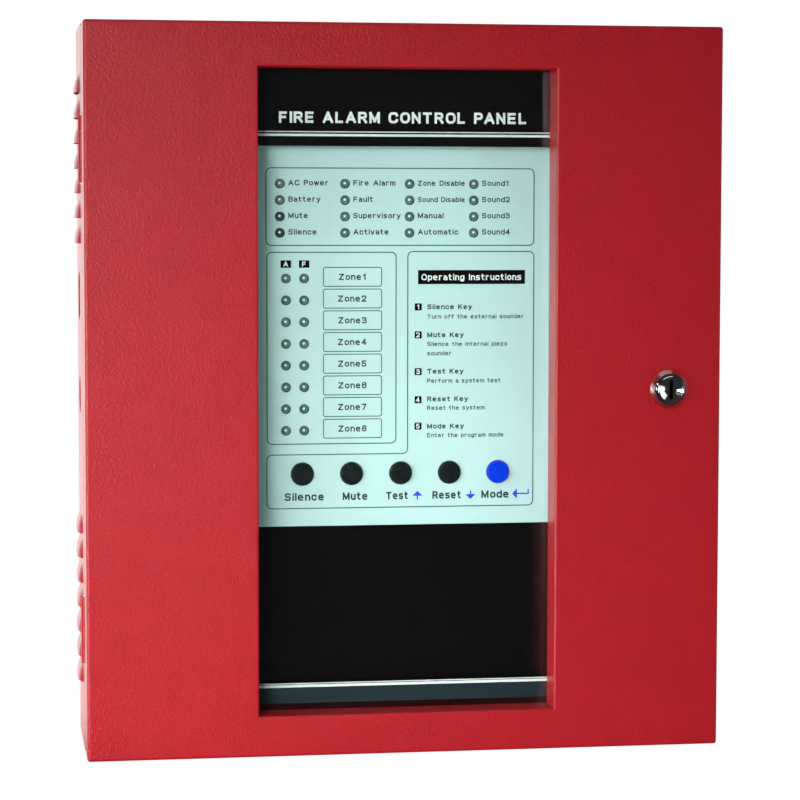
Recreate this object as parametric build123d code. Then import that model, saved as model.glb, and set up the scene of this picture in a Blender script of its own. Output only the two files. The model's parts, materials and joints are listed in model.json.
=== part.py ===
from build123d import *

import os

os.makedirs("parts", exist_ok=True)

# Fire alarm control panel, millimetres. The origin is the centre of the wall face.
# +Z is up, the front looks along -Y, and +X is to the right as seen from the front.

# Enclosure
width = 325.0
height = 370.0
depth = 95.0
sheet = 1.2
bend_radius = 1.5
lip_width = 14.0
rear_flange = 12.0
hinge_axis = (-width / 2 + 1.0, -66.0)
door_rear_y = hinge_axis[1] - 0.5
box_front_y = hinge_axis[1] + 1.9
half_w = width / 2
half_h = height / 2
inner_w = half_w - sheet
inner_h = half_h - sheet
back_y = -sheet

# Screw holes: M4 through the sheet metal, M3 through the boards, and the recess over a clamp screw
m4_r = 2.0
m3_r = 1.5
clamp_recess_r = 1.95

# Wall holes, a rectangle on the back
wall_hole_spacing_x = 290.0
wall_hole_spacing_z = 280.0
wall_hole_r = 3.25

# Louvres, two groups up each side
louvre_height = 9.8
louvre_proud = 2.4
louvre_skin = 1.0
louvre_straight = 18.5
louvre_centre_y = -32.0
louvre_pitch = 12.85
louvre_count = 7
louvre_group_bottoms = (-151.9, 74.2)

# Cable knockouts in the left side: height, radius
knockouts = ((47.0, 12.5), (-4.6, 9.75))
knockout_y = -26.0
knockout_gap = 0.7
knockout_tie = 2.6
knockout_sink = 0.6

# Hinges
hinge_heights = (-122.0, 122.0)
hinge_length = 34.0
hinge_middle = 18.2
hinge_end_gap = 0.3
barrel_r = 2.6
pin_r = 1.3
pin_clearance = 0.07
pin_head = 0.8
pin_head_r = 2.0
leaf = 1.5
leaf_reach = 15.0
notch_room = 0.6

# Door window
window_w = 152.0
window_h = 327.0
window_z = -0.7
recess = 17.6
pane_y = -depth + recess
pane = 2.0
pane_border = 5.0
retainer = 1.2
retainer_width = 14.5
stud_r = 2.0
stud_x = 86.0
stud_heights = (-120.0, 0.0, 120.0)
stud_end_y = -70.6

# Lock
lock_x = 135.5
lock_flange_r = 9.9
lock_shank_r = 7.9
lock_rear_y = -62.8
plug_head_r = 6.9
plug_r = 5.6
plug_clearance = 0.05
plug_face_y = -depth - 5.0
cam_y = -62.6
cam = 2.0
cam_length = 21.5
cam_width = 15.0
cam_square = 7.0

# Display plate, from the overlay's front backwards
overlay_y = -69.0
overlay = 0.3
plate_y = overlay_y + overlay
plate = 1.2
plate_half_w = 98.0
plate_half_h = 172.0
overlay_half_w = 92.0
overlay_low_z = -70.6
overlay_high_z = 127.0
rail = 1.5
rail_z = 163.0
rail_width = 14.0
rail_half_length = 158.0
plate_screw_x = 88.0
rail_screw_x = 153.0

# Lamps
lamp_r = 2.45
lamp_tip_y = overlay_y - 1.0
status_xs = (-62.4, -28.95, 4.45, 37.9)
status_zs = (104.8, 96.45, 88.1, 79.8)
zone_xs = (-59.4, -50.0)
zone_top_z = 56.5
zone_pitch = 11.13
zones = 8

# Display board and keys
board = 1.6
display_board_y = -61.4
display_board_box = (-74.0, 74.0, -60.0, 116.0)
key_names = ("silence", "mute", "test", "reset", "mode")
key_pitch = 25.5
key_z = -43.8
key_r = 5.75
key_proud = 1.8
key_gap = 0.35
key_flange_r = 7.0
key_stem_r = 1.7
key_stem_end_y = -62.6
switch_size = 12.0

# Main board
main_board_y = -14.0
main_board_box = (-125.0, 75.0, -35.0, 115.0)
terminal_pitch = 5.0
terminal_poles = 4
terminal_z = 97.0
terminal_xs = tuple(-110.0 + 24.0 * i for i in range(6))
supply_x = 50.0
supply_z = -28.0

relay_xs = (-108.0, -84.0, -60.0, -36.0)
relay_w = 19.0
relay_tall = 15.5
relay_z = 73.75
# x, z, radius, height above the board
cans = ((40, 70, 8, 25), (60, 70, 8, 25), (-5, 72, 5, 16), (10, 72, 5, 16), (-112, 45, 4, 11),
        (60, 20, 5, 12))
heatsink_x0 = -14.0
heatsink_w = 60.0
heatsink_z = 42.0
heatsink_tall = 26.0
fin_count = 11
fin = 1.6
regulator_xs = (0.0, 32.0)
fuse_count = 3
fuse_x0 = -112.0
fuse_pitch = 30.0
fuse_z = 12.0
fuse_y = main_board_y - 6.0
fuse_cap_r = 2.6
fuse_cap_x = 7.5
# x, z, length along x, length along z, height: first the main board's, then the display board's
main_chips = ((-50, 26, 52, 14, 5), (-90, -14, 20, 7, 4), (-60, -14, 20, 7, 4), (-30, -14, 20, 7, 4))
display_chips = ((-40, 40, 26, 7, 4), (-40, 15, 26, 7, 4), (10, 60, 7, 20, 4))
sounder_x = -40.0
sounder_z = 88.0
sounder_r = 11.5
ribbon_x = 30.0
ribbon_half = 12.0
ribbon_high_z = 40.0
ribbon_low_z = 5.0
ribbon = 0.9
header_depth = 9.0

# Power supply
transformer_x = 106.0
transformer_z = -125.0
core_w = 54.0
core_h = 45.0
core_front_y = -35.0
core_back_y = -13.0
leg = 9.0
frame_screw_x = 12.0
mains_z = -73.0
mains_xs = (94.0, 106.0, 118.0)
earth_x = 135.0
earth_z = -52.0
earth_r = 2.5

# Batteries, sealed 12 V blocks
battery_w = 178.0
battery_d = 35.0
battery_h = 61.0
battery_x = -31.0
lid = 8.0
shelf_z = -112.0
battery_floors = (-inner_h, shelf_z + sheet)
tab_y = -22.0
tab_tall = 6.2
tab_inset = 8.0
lead_r = 1.2
shelf_screw_places = ((battery_x - 60, shelf_z - 5.0), (battery_x + 60, shelf_z - 5.0))
strap = 1.0
strap_width = 12.0
strap_foot = 10.0
strap_bands = tuple(floor + 26.0 for floor in battery_floors)


def block(x0, x1, y0, y1, z0, z1):
    """A box between six planes."""
    centre = Pos((x0 + x1) / 2, (y0 + y1) / 2, (z0 + z1) / 2)
    return centre * Box(abs(x1 - x0), abs(y1 - y0), abs(z1 - z0))


def rod(x, z, radius, y0, y1):
    """A cylinder along Y between two planes."""
    return Pos(x, (y0 + y1) / 2, z) * Rot(90, 0, 0) * Cylinder(radius, abs(y1 - y0))


def upright(x, y, radius, z0, z1):
    """A cylinder along Z between two planes."""
    return Pos(x, y, (z0 + z1) / 2) * Cylinder(radius, z1 - z0)


def hexagon(x, z, flats, y0, y1):
    """A hexagonal prism along Y, given across its flats."""
    outline = RegularPolygon(flats / 2, 6, major_radius=False)
    lying = Pos(x, y1, z) * Rot(90, 0, 0) * outline
    return extrude(lying, abs(y1 - y0))


def turned(x, z, profile):
    """A solid of revolution about a Y axis, from (radius, y) points."""
    outline = make_face(Polyline(*[(r, y, 0) for r, y in profile], close=True))
    return Pos(x, 0, z) * revolve(outline, Axis.Y)


def joined(solids):
    """The union of a list of solids."""
    first, *rest = solids
    return first + rest if rest else first


def save(name, *solids):
    """One node: each piece in it stays a solid of its own."""
    pieces = [solid for shape in solids for solid in shape.solids()]
    export_step(Compound(pieces), f"parts/{name}.step")


# Enclosure


def wall_holes():
    return [
        rod(sx * wall_hole_spacing_x / 2, sz * wall_hole_spacing_z / 2, wall_hole_r, -3, 1)
        for sx in (-1, 1)
        for sz in (-1, 1)
    ]


def box_wrap():
    """Top, back and bottom folded from one sheet, with a lip along the front edges."""
    lip_half = half_w - lip_width
    walls = [block(-half_w, half_w, back_y, 0, -half_h, half_h)]
    for side in (-1, 1):
        outer, inner, lip = side * half_h, side * inner_h, side * (half_h - lip_width)
        walls.append(block(-half_w, half_w, box_front_y, 0, inner, outer))
        walls.append(block(-lip_half, lip_half, box_front_y, box_front_y + sheet, lip, outer))
    shell = joined(walls)
    bends = [e for e in shell.edges().filter_by(Axis.X) if on_outline(e.center().Y, e.center().Z)]
    return fillet(bends, bend_radius * 0.7) - wall_holes()


def on_outline(y, z):
    """Whether a long edge is an outer bend at the back or along the front lips."""
    outside = abs(abs(z) - half_h) < 0.01
    return outside and (abs(y) < 0.01 or abs(y - box_front_y) < 0.01)


def louvre():
    """A pressed louvre on the +X face: a capsule-shaped hood, open underneath."""
    radius = (louvre_height**2 + louvre_proud**2) / (2 * louvre_proud)
    centre_x = half_w + louvre_proud - radius
    hood = capsule(centre_x, radius)
    room = capsule(centre_x, radius - louvre_skin)
    above = block(inner_w, half_w + 10, -80, 0, 0, louvre_height + 3)
    outside = block(half_w - 0.2, half_w + 10, -80, 0, 0, louvre_height + 3)
    return (hood & outside) - room, room & above


def capsule(centre_x, radius):
    """A cylinder along Y with round ends."""
    body = rod(
        centre_x,
        0,
        radius,
        louvre_centre_y - louvre_straight / 2,
        louvre_centre_y + louvre_straight / 2,
    )
    ends = [
        Pos(centre_x, louvre_centre_y + side * louvre_straight / 2, 0) * Sphere(radius)
        for side in (-1, 1)
    ]
    return body + ends


def hinge_notch(y0, y1):
    """Room for the hinge barrels, cut from a sheet edge at both hinges."""
    reach = hinge_length / 2 + pin_head + notch_room
    x1 = hinge_axis[0] + barrel_r + notch_room
    return [block(-half_w - 1, x1, y0, y1, z - reach, z + reach) for z in hinge_heights]


def knockout_cut(z, radius):
    """A round blank still held by two ties: the gap round it and the sunk face."""
    ring = cross(z, radius, -half_w - 1, -half_w + 3)
    ring -= cross(z, radius - knockout_gap, -half_w - 1, -half_w + 3)
    tie = block(-half_w - 2, -half_w + 4, knockout_y - 20, knockout_y + 20,
                z - knockout_tie / 2, z + knockout_tie / 2)
    sunk = cross(z, radius - knockout_gap, -half_w - 1, -half_w + knockout_sink)
    return [ring - tie, sunk]


def cross(z, radius, x0, x1):
    """A cylinder along X at the knockouts' depth."""
    centre = Pos((x0 + x1) / 2, knockout_y, z)
    return centre * Rot(0, 90, 0) * Cylinder(radius, x1 - x0)


def right_side():
    """A side wall with its front lip, its rear welding flange and its louvres."""
    walls = [
        block(inner_w, half_w, box_front_y, back_y, -inner_h, inner_h),
        block(half_w - lip_width, half_w, box_front_y, box_front_y + sheet, -inner_h, inner_h),
        block(inner_w - rear_flange, inner_w, back_y - sheet, back_y, -inner_h, inner_h),
    ]
    wall = joined(walls)
    corner = [
        e
        for e in wall.edges().filter_by(Axis.Z)
        if abs(e.center().X - half_w) < 0.01 and abs(e.center().Y - box_front_y) < 0.01
    ]
    wall = fillet(corner, bend_radius * 0.7)
    hood, room = louvre()
    heights = [
        bottom + louvre_pitch * i for bottom in louvre_group_bottoms for i in range(louvre_count)
    ]
    wall -= [Pos(0, 0, z) * room for z in heights]
    return wall + [Pos(0, 0, z) * hood for z in heights]


def left_side(right):
    """The mirrored side wall, with hinge notches and knockouts."""
    wall = mirror(right, Plane.YZ)
    wall -= hinge_notch(box_front_y - 1, hinge_axis[1] + barrel_r + notch_room)
    for z, radius in knockouts:
        wall -= knockout_cut(z, radius)
        blank = radius - knockout_gap
        wall += cross(z, blank, -half_w + sheet - 0.1, -half_w + sheet + knockout_sink)
    return wall


# Hinges


def knuckle(z0, z1, hole_r):
    axis_x, axis_y = hinge_axis
    return upright(axis_x, axis_y, barrel_r, z0, z1) - upright(
        axis_x, axis_y, hole_r, z0 - 1, z1 + 1
    )


def leaf_plate(z0, z1, side):
    """A leaf inside the side wall: side -1 is in the door, +1 in the box."""
    axis_y = hinge_axis[1]
    near = axis_y + side * (pin_r + pin_clearance + 0.2)
    return block(-inner_w, -inner_w + leaf, near, axis_y + side * (barrel_r + leaf_reach), z0, z1)


def hinge_box_leaf(z):
    half, middle = hinge_length / 2, hinge_middle / 2
    axis_y = hinge_axis[1]
    plate_piece = leaf_plate(z - half, z + half, 1)
    ends = [knuckle(z - half, z - middle, pin_r), knuckle(z + middle, z + half, pin_r)]
    clear = block(-half_w - 3, 0, axis_y - 9, axis_y + barrel_r + notch_room,
                  z - middle, z + middle)
    return joined([plate_piece - clear, *ends])


def hinge_door_leaf(z):
    half = hinge_middle / 2 - hinge_end_gap
    return joined([leaf_plate(z - half, z + half, -1),
                   knuckle(z - half, z + half, pin_r + pin_clearance)])


def hinge_pin(z):
    """A plain pin with a domed head above and below its knuckles."""
    half = hinge_length / 2
    x, y = hinge_axis
    heads = [
        upright(x, y, pin_head_r, z + half, z + half + pin_head),
        upright(x, y, pin_head_r, z - half - pin_head, z - half),
    ]
    return joined([upright(x, y, pin_r, z - half, z + half), *heads])


# Door


def opening(grow, y0, y1):
    """A block the size of the window opening, grown on every edge."""
    return block(-window_w / 2 - grow, window_w / 2 + grow, y0, y1,
                 window_z - window_h / 2 - grow, window_z + window_h / 2 + grow)


def door_panel():
    """A deep pan with a window recess folded inwards and a hole for the lock."""
    pan = block(-half_w, half_w, -depth, door_rear_y, -half_h, half_h)
    front = [e for e in pan.edges() if e.center().Y < -depth + 0.01]
    corners = pan.edges().filter_by(Axis.Y)
    pan = fillet(front + list(corners), bend_radius)
    hollow = block(-inner_w, inner_w, -depth + sheet, 0, -inner_h, inner_h)
    hollow = fillet(hollow.edges().filter_by(Axis.Y), 0.5)
    pan = (pan - hollow) + opening(sheet, -depth + 0.5, pane_y)
    pan -= opening(0, -depth - 1, 0)
    rim = [
        e
        for e in pan.edges()
        if e.center().Y < -depth + 0.01
        and abs(e.center().X) < window_w / 2 + 0.01
        and abs(e.center().Z - window_z) < window_h / 2 + 0.01
    ]
    pan = fillet(rim, sheet)
    pan -= rod(lock_x, 0, lock_shank_r, -depth - 1, -depth + 5)
    return pan - hinge_notch(hinge_axis[1] - barrel_r - notch_room, 0)


def stud_places():
    return [(side * stud_x, z) for side in (-1, 1) for z in stud_heights]


def window_retainers():
    """Four flat strips that press the pane against the recess."""
    y0, y1 = pane_y + pane, pane_y + pane + retainer
    inner_x = window_w / 2 + 1.5
    inner_z = window_h / 2 + 1.5
    long_z = inner_z + retainer_width
    strips = []
    for side in (-1, 1):
        x0, x1 = side * inner_x, side * (inner_x + retainer_width)
        strip = block(x0, x1, y0, y1, window_z - long_z, window_z + long_z)
        strips.append(strip - [rod(side * stud_x, z, stud_r, y0 - 1, y1 + 1) for z in stud_heights])
        z0, z1 = window_z + side * inner_z, window_z + side * long_z
        strips.append(block(-inner_x, inner_x, y0, y1, z0, z1))
    return strips


def window_nuts():
    y0 = pane_y + pane + retainer
    return [hexagon(x, z, 7, y0, y0 + 3.2) - rod(x, z, stud_r, y0 - 1, y0 + 5)
            for x, z in stud_places()]


# Lock


def lock_body():
    """A chrome sleeve with a coned flange outside the door."""
    bore = plug_r + plug_clearance
    head = plug_head_r + plug_clearance
    step_y = -depth + 3.0
    return turned(lock_x, 0, [
        (lock_flange_r, -depth), (lock_flange_r, -depth - 0.6), (8.1, -depth - 3.0),
        (7.5, -depth - 3.0), (7.2, -depth - 2.4), (head, -depth - 2.4), (head, step_y),
        (bore, step_y), (bore, lock_rear_y), (lock_shank_r, lock_rear_y), (lock_shank_r, -depth),
    ])


def lock_nut():
    y0, y1 = -depth + sheet, -depth + sheet + 4.0
    return hexagon(lock_x, 0, 22, y0, y1) - rod(lock_x, 0, lock_shank_r, y0 - 1, y1 + 1)


def lock_plug():
    """The turning barrel: dished face, round core, upright keyway, square for the cam."""
    step_y = -depth + 3.0 - plug_clearance
    face = plug_face_y
    barrel = turned(lock_x, 0, [
        (0, face + 0.5), (3.0, face + 0.5), (3.0, face + 1.0), (3.3, face + 1.0),
        (6.2, face), (6.6, face), (plug_head_r, face + 0.3), (plug_head_r, step_y),
        (plug_r, step_y), (plug_r, cam_y), (0, cam_y),
    ])
    half = cam_square / 2
    square = block(lock_x - half, lock_x + half, cam_y, cam_y + cam, -half, half)
    keyway = block(lock_x - 0.9, lock_x + 0.9, face - 1, face + 22, -4.8, 4.8)
    tapped = rod(lock_x, 0, 1.9, cam_y - 8, cam_y + cam + 1)
    return barrel + square - keyway - tapped


def lock_cam():
    """A flat tongue that hangs down when unlocked."""
    half = cam_square / 2
    edge = cam_width / 2
    tongue = rod(lock_x, 0, edge, cam_y, cam_y + cam)
    tongue += block(lock_x - edge, lock_x + edge, cam_y, cam_y + cam, -cam_length + 3, 0)
    tongue += rod(lock_x - edge + 3, -cam_length + 3, 3, cam_y, cam_y + cam)
    tongue += rod(lock_x + edge - 3, -cam_length + 3, 3, cam_y, cam_y + cam)
    tongue += block(lock_x - edge + 3, lock_x + edge - 3, cam_y, cam_y + cam, -cam_length, 0)
    return tongue - block(lock_x - half, lock_x + half, cam_y - 1, cam_y + cam + 1, -half, half)


def screw(x, z, y, shank_r, head_r, head, length, towards):
    """A pan-head screw along Y, head on the plane y, shank running towards +1 or -1."""
    top = rod(x, z, head_r, y, y - towards * head)
    slot = head * 0.5
    recess = [
        block(x - a, x + a, y - towards * (head + 1), y - towards * (head - slot), z - b, z + b)
        for a, b in ((head_r * 0.6, 0.45), (0.45, head_r * 0.6))
    ]
    return top - recess + rod(x, z, shank_r, y, y + towards * length)


# Display


def rails():
    y0 = box_front_y - rail
    strips = []
    for side in (-1, 1):
        strip = block(-rail_half_length, rail_half_length, y0, box_front_y,
                      side * rail_z - rail_width / 2, side * rail_z + rail_width / 2)
        holes = [(sx * x, side * rail_z) for x in (plate_screw_x, rail_screw_x) for sx in (-1, 1)]
        strips.append(strip - [rod(x, z, m4_r, y0 - 1, box_front_y + 1) for x, z in holes])
    return strips


def plate_screw_places():
    return [(sx * plate_screw_x, sz * rail_z) for sx in (-1, 1) for sz in (-1, 1)]


def rail_screw_places():
    return [(sx * rail_screw_x, sz * rail_z) for sx in (-1, 1) for sz in (-1, 1)]


def key_xs():
    return [(i - (len(key_names) - 1) / 2) * key_pitch for i in range(len(key_names))]


def lamp_places():
    status = [(x, z) for x in status_xs for z in status_zs]
    zone = [(x, zone_top_z - zone_pitch * i) for x in zone_xs for i in range(zones)]
    return status, zone


def pierced(sheet_piece, y0, y1, lamp_hole, key_hole):
    """A sheet with its lamp and key holes."""
    status, zone = lamp_places()
    holes = [rod(x, z, lamp_hole, y0 - 1, y1 + 1) for x, z in status + zone]
    holes += [rod(x, key_z, key_hole, y0 - 1, y1 + 1) for x in key_xs()]
    return sheet_piece - holes


def display_plate():
    y1 = plate_y + plate
    flat = block(-plate_half_w, plate_half_w, plate_y, y1, -plate_half_h, plate_half_h)
    flat = fillet(flat.edges().filter_by(Axis.Y), 4)
    flat = pierced(flat, plate_y, y1, lamp_r + 0.1, key_r + key_gap)
    return flat - [rod(x, z, m4_r, plate_y - 1, y1 + 1) for x, z in plate_screw_places()]


def display_overlay():
    film = block(-overlay_half_w, overlay_half_w, overlay_y, plate_y, overlay_low_z, overlay_high_z)
    film = fillet(film.edges().filter_by(Axis.Y), 1.5)
    return pierced(film, overlay_y, plate_y, lamp_r + 0.1, key_r + key_gap)


def display_spacers():
    y0, y1 = plate_y + plate, box_front_y - rail
    return [rod(x, z, 4, y0, y1) - rod(x, z, m4_r, y0 - 1, y1 + 1) for x, z in plate_screw_places()]


def lamp(x, z):
    """A 5 mm lamp: domed lens, flange, seated on the board."""
    shoulder = lamp_tip_y + lamp_r
    lens = rod(x, z, lamp_r, shoulder, display_board_y) + Pos(x, shoulder, z) * Sphere(lamp_r)
    return lens + rod(x, z, lamp_r + 0.4, display_board_y - 1.0, display_board_y)


def key(x):
    """A push key: cap, retaining flange behind the plate, stem into its switch."""
    cap_y = overlay_y - key_proud
    flange_y = plate_y + plate + 0.2
    cap = rod(x, key_z, key_r, cap_y, flange_y)
    rim = [e for e in cap.edges() if e.center().Y < cap_y + 0.01]
    cap = fillet(rim, 0.9)
    return joined([cap, rod(x, key_z, key_flange_r, flange_y, flange_y + 0.8),
                   rod(x, key_z, key_stem_r, flange_y, key_stem_end_y)])


def key_switches():
    half = switch_size / 2
    front = display_board_y - 3.6
    bodies = []
    for x in key_xs():
        body = block(x - half, x + half, front, display_board_y, key_z - half, key_z + half)
        bodies.append(body - rod(x, key_z, key_stem_r + key_gap, front - 1, display_board_y + 1))
    return bodies


def display_spacer_places():
    x0, x1, z0, z1 = display_board_box
    return [(x, z) for x in (x0 + 4, x1 - 4) for z in (z0 + 4, 25.0, z1 - 4)]


def display_board():
    x0, x1, z0, z1 = display_board_box
    y1 = display_board_y + board
    flat = block(x0, x1, display_board_y, y1, z0, z1)
    return flat - [rod(x, z, m3_r, display_board_y - 1, y1 + 1) for x, z in display_spacer_places()]


def display_board_spacers():
    y0 = plate_y + plate
    return [hexagon(x, z, 6, y0, display_board_y) - rod(x, z, m3_r, y0 + 1, display_board_y + 1)
            for x, z in display_spacer_places()]


def sounder():
    """A round piezo sounder with its sound hole."""
    y0 = display_board_y + board
    case = rod(sounder_x, sounder_z, sounder_r, y0, y0 + 9)
    rim = [e for e in case.edges() if e.center().Y > y0 + 8.9]
    return fillet(rim, 1.0) - rod(sounder_x, sounder_z, 1.5, y0 + 6, y0 + 10)


# Main board


def standoff_places():
    x0, x1, z0, z1 = main_board_box
    return [(x, z) for x in (x0 + 5, (x0 + x1) / 2, x1 - 5) for z in (z0 + 5, z1 - 5)]


def main_board():
    x0, x1, z0, z1 = main_board_box
    y1 = main_board_y + board
    flat = block(x0, x1, main_board_y, y1, z0, z1)
    return flat - [rod(x, z, m3_r, main_board_y - 1, y1 + 1) for x, z in standoff_places()]


def standoffs():
    y0 = main_board_y + board
    return [hexagon(x, z, 6, y0, back_y) - rod(x, z, m3_r, y0 - 1, y0 + 7)
            for x, z in standoff_places()]


def terminal_runs():
    """Centres of the screw terminals: six blocks of four along the top, one pair below."""
    top = [(x + terminal_pitch * i, terminal_z) for x in terminal_xs for i in range(terminal_poles)]
    return top, [(supply_x, supply_z), (supply_x + terminal_pitch, supply_z)]


def terminal_block(first_x, poles, z, mouth):
    """A rising-clamp block, screws facing the front, wire mouths facing up or down."""
    y1 = main_board_y
    y0 = y1 - 12
    x0 = first_x - terminal_pitch / 2
    body = block(x0, x0 + poles * terminal_pitch, y0, y1, z - 5, z + 5)
    for i in range(poles):
        x = first_x + terminal_pitch * i
        body -= rod(x, z, clamp_recess_r, y0 - 1, y0 + 2.5)
        low, high = (z + 1, z + 6) if mouth > 0 else (z - 6, z - 1)
        body -= block(x - 1.6, x + 1.6, y0 + 4.5, y0 + 8.0, low, high)
    return body


def terminal_blocks():
    bodies = [terminal_block(x, terminal_poles, terminal_z, 1) for x in terminal_xs]
    return bodies + [terminal_block(supply_x, 2, supply_z, -1)]


def clamp_screws(places, y):
    """Slotted clamp screws, sitting in their recesses."""
    return [rod(x, z, 1.85, y, y + 1.6) - block(x - 2, x + 2, y - 1, y + 0.8, z - 0.3, z + 0.3)
            for x, z in places]


def terminal_screws():
    top, pair = terminal_runs()
    mains = [(x, mains_z) for x in mains_xs]
    return clamp_screws(top + pair, main_board_y - 11.1) + clamp_screws(mains, back_y - 17.1)


def relays():
    return [chip(x, relay_z, relay_w, relay_tall, main_board_y - relay_tall, main_board_y)
            for x in relay_xs]


def capacitor(x, z, radius, tall):
    """An electrolytic can with the rolled groove near its seat."""
    top = main_board_y - tall
    can = rod(x, z, radius, top, main_board_y)
    groove = rod(x, z, radius + 1, main_board_y - 3.6, main_board_y - 2.6)
    groove -= rod(x, z, radius - 0.5, main_board_y - 4, main_board_y - 2)
    rim = [e for e in can.edges() if e.center().Y < top + 0.01]
    return fillet(rim, 0.6) - groove


def capacitors():
    return [capacitor(x, z, radius, tall) for x, z, radius, tall in cans]


def heatsink():
    """A finned bar standing on the board."""
    top = main_board_y - heatsink_tall
    base_z = heatsink_z + 3
    base = block(heatsink_x0, heatsink_x0 + heatsink_w, top, main_board_y, heatsink_z, base_z)
    pitch = (heatsink_w - fin) / (fin_count - 1)
    fins = [block(x, x + fin, top, main_board_y, base_z, base_z + 10)
            for x in [heatsink_x0 + pitch * i for i in range(fin_count)]]
    return joined([base, *fins])


def regulator(x):
    """A tab package lying against the heatsink."""
    back = heatsink_z
    body = block(x - 5, x + 5, main_board_y - 13, main_board_y - 4, back - 4.4, back)
    tab = block(x - 5, x + 5, main_board_y - 19.5, main_board_y - 13, back - 1.3, back)
    legs = [block(x + d - 0.4, x + d + 0.4, main_board_y - 4, main_board_y, back - 2.6, back - 2.1)
            for d in (-2.54, 0, 2.54)]
    return joined([body, tab, *legs])


def fuse_xs():
    return [fuse_x0 + fuse_pitch * i for i in range(fuse_count)]


def fuse(x):
    """A 5 x 20 glass fuse with its two end caps."""
    tube = Pos(x, fuse_y, fuse_z) * Rot(0, 90, 0) * Cylinder(fuse_cap_r - 0.4, 20)
    caps = [Pos(x + side * fuse_cap_x, fuse_y, fuse_z) * Rot(0, 90, 0) * Cylinder(fuse_cap_r, 5)
            for side in (-1, 1)]
    return joined([tube, *caps])


def fuse_clips(x):
    """Spring clips round the two end caps."""
    clips = []
    outer_r = fuse_cap_r + 0.5
    for side in (-1, 1):
        clip_x = x + side * fuse_cap_x
        centre = Pos(clip_x, fuse_y, fuse_z) * Rot(0, 90, 0)
        foot = block(clip_x - 2, clip_x + 2, fuse_y, main_board_y, fuse_z - outer_r, fuse_z + outer_r)
        clip = centre * Cylinder(outer_r, 4) + foot
        clip -= centre * Cylinder(fuse_cap_r, 6)
        mouth = block(clip_x - 4, clip_x + 4, fuse_y - 5, fuse_y - 1.2, fuse_z - 2, fuse_z + 2)
        clips.append(clip - mouth)
    return clips


def chip(x, z, long_x, long_z, y0, y1):
    return block(x - long_x / 2, x + long_x / 2, y0, y1, z - long_z / 2, z + long_z / 2)


def logic_chips():
    """Chips on the main board's front and on the display board's back."""
    rear = display_board_y + board
    front = [chip(x, z, long_x, long_z, main_board_y - tall, main_board_y)
             for x, z, long_x, long_z, tall in main_chips]
    return front + [chip(x, z, long_x, long_z, rear, rear + tall)
                    for x, z, long_x, long_z, tall in display_chips]


def header(z, y0, y1):
    """A boxed ribbon header with its plug seated."""
    shell = block(ribbon_x - ribbon_half - 4, ribbon_x + ribbon_half + 4, y0, y1, z - 4.5, z + 4.5)
    polarity = block(ribbon_x - 2, ribbon_x + 2, y0, y1, z - 5, z - 3.8)
    return shell - polarity


def ribbon_headers():
    rear = display_board_y + board
    return [header(ribbon_high_z, rear, rear + header_depth),
            header(ribbon_low_z, main_board_y - header_depth, main_board_y)]


def ribbon_cable():
    """A flat cable from the display board's header down to the main board's."""
    start = display_board_y + board + header_depth
    end = main_board_y - header_depth
    middle = (start + end) / 2
    route = FilletPolyline((ribbon_x, start, ribbon_high_z), (ribbon_x, middle, ribbon_high_z),
                           (ribbon_x, middle, ribbon_low_z), (ribbon_x, end, ribbon_low_z), radius=6)
    start_plane = Plane(origin=route @ 0, z_dir=route % 0, x_dir=(1, 0, 0))
    return sweep(start_plane * Rectangle(2 * ribbon_half, ribbon), path=route)


# Power


def transformer_core():
    """Stacked laminations with two windows beside the middle leg."""
    x, z = transformer_x, transformer_z
    half_core = core_h / 2
    stack = block(x - core_w / 2, x + core_w / 2, core_front_y, core_back_y, z - half_core, z + half_core)
    windows = [block(x + side * leg, x + side * 2 * leg, core_front_y - 1, core_back_y + 1,
                     z - half_core + leg, z + half_core - leg) for side in (-1, 1)]
    return stack - windows


def transformer_winding():
    """Taped coil round the middle leg, filling both windows."""
    x, z = transformer_x, transformer_z
    half_window = core_h / 2 - leg
    proud = 6.5
    coil = block(x - 2 * leg, x + 2 * leg, core_front_y - proud, core_back_y + proud,
                 z - half_window, z + half_window)
    coil = fillet(coil.edges().filter_by(Axis.Z), 4)
    return coil - block(x - leg, x + leg, core_front_y, core_back_y,
                        z - half_window - 1, z + half_window + 1)


def transformer_frame():
    """A clamp strap over the core, with feet above and below."""
    x, z = transformer_x, transformer_z
    half_core = core_h / 2
    front = core_front_y - sheet
    pieces = []
    for side in (-1, 1):
        edge = z + side * half_core
        foot = edge + side * sheet
        band = x + side * (core_w / 2 - 4)
        pieces += [
            block(x - 20, x + 20, front, back_y, edge, foot),
            block(x - 20, x + 20, back_y - sheet, back_y, foot, foot + side * 10),
            block(band - 3, band + 3, front, core_front_y, z - half_core - sheet, z + half_core + sheet),
            block(band - 3, band + 3, front, core_front_y + 5, edge, foot),
            block(band - 3, band + 3, front, core_front_y + 5, z - side * half_core,
                  z - side * (half_core + sheet)),
        ]
    return joined(pieces)


def frame_screw_places():
    reach = core_h / 2 + 6.5
    return [(transformer_x + dx, transformer_z + side * reach)
            for side in (-1, 1) for dx in (-frame_screw_x, frame_screw_x)]


def mains_block():
    """A three-pole mains terminal block with a mounting foot."""
    body = block(transformer_x - 20, transformer_x + 20, back_y - 18, back_y, mains_z - 7, mains_z + 7)
    for x in mains_xs:
        body -= rod(x, mains_z, clamp_recess_r, back_y - 19, back_y - 15)
        body -= block(x - 2, x + 2, back_y - 12, back_y - 7, mains_z - 8, mains_z - 3)
        body -= block(x - 2, x + 2, back_y - 12, back_y - 7, mains_z + 3, mains_z + 8)
    return body


def earth_stud():
    return rod(earth_x, earth_z, earth_r, -16, back_y)


def earth_nuts():
    return [hexagon(earth_x, earth_z, 8, y0, y0 + 4) - rod(earth_x, earth_z, earth_r, y0 - 1, y0 + 5)
            for y0 in (back_y - 4, back_y - 9.5)]


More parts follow.
